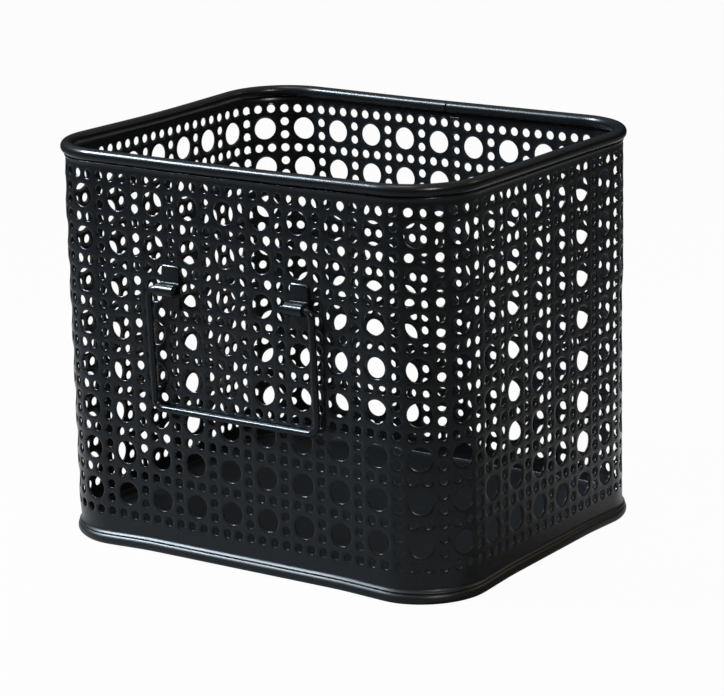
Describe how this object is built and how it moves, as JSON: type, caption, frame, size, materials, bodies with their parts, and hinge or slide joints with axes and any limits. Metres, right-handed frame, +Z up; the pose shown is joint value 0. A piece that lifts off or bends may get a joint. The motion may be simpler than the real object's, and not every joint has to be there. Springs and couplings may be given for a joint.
{
  "type": "locker basket",
  "caption": "Open-topped perforated sheet-steel locker basket with rounded corners, rolled wired edges, a plain raised floor and a hinged wire bail handle on the front.",
  "frame": {"origin": "on the ground, under the middle of the bounding box of the basket and its handle, 3.0 mm in front of the middle of the wall", "axes": "+Z up, -Y towards the front wall that carries the bail, +X to the right seen from the front"},
  "size_m": [0.2696, 0.2276, 0.2274],
  "materials": {
    "sheet_coat": "semi-gloss black powder coat on sheet steel",
    "handle_coat": "gloss black powder coat on steel wire and strap",
    "edge_wire": "drawn steel wire, sealed inside the rolled edge"
  },
  "bodies": {
    "basket": {"wall_sheet": "sheet_coat", "rim_wire": "edge_wire", "base_wire": "edge_wire", "base_pan": "sheet_coat", "left_clip": "handle_coat", "right_clip": "handle_coat"},
    "bail": {"handle_bail": "handle_coat"}
  },
  "joints": [
    {"name": "bail_swing", "type": "hinge", "parent": "basket", "child": "bail", "pos_m": [0, -0.11033, 0.1551], "axis": [-1, 0, 0], "range_deg": [-0.15, 177.5]}
  ]
}
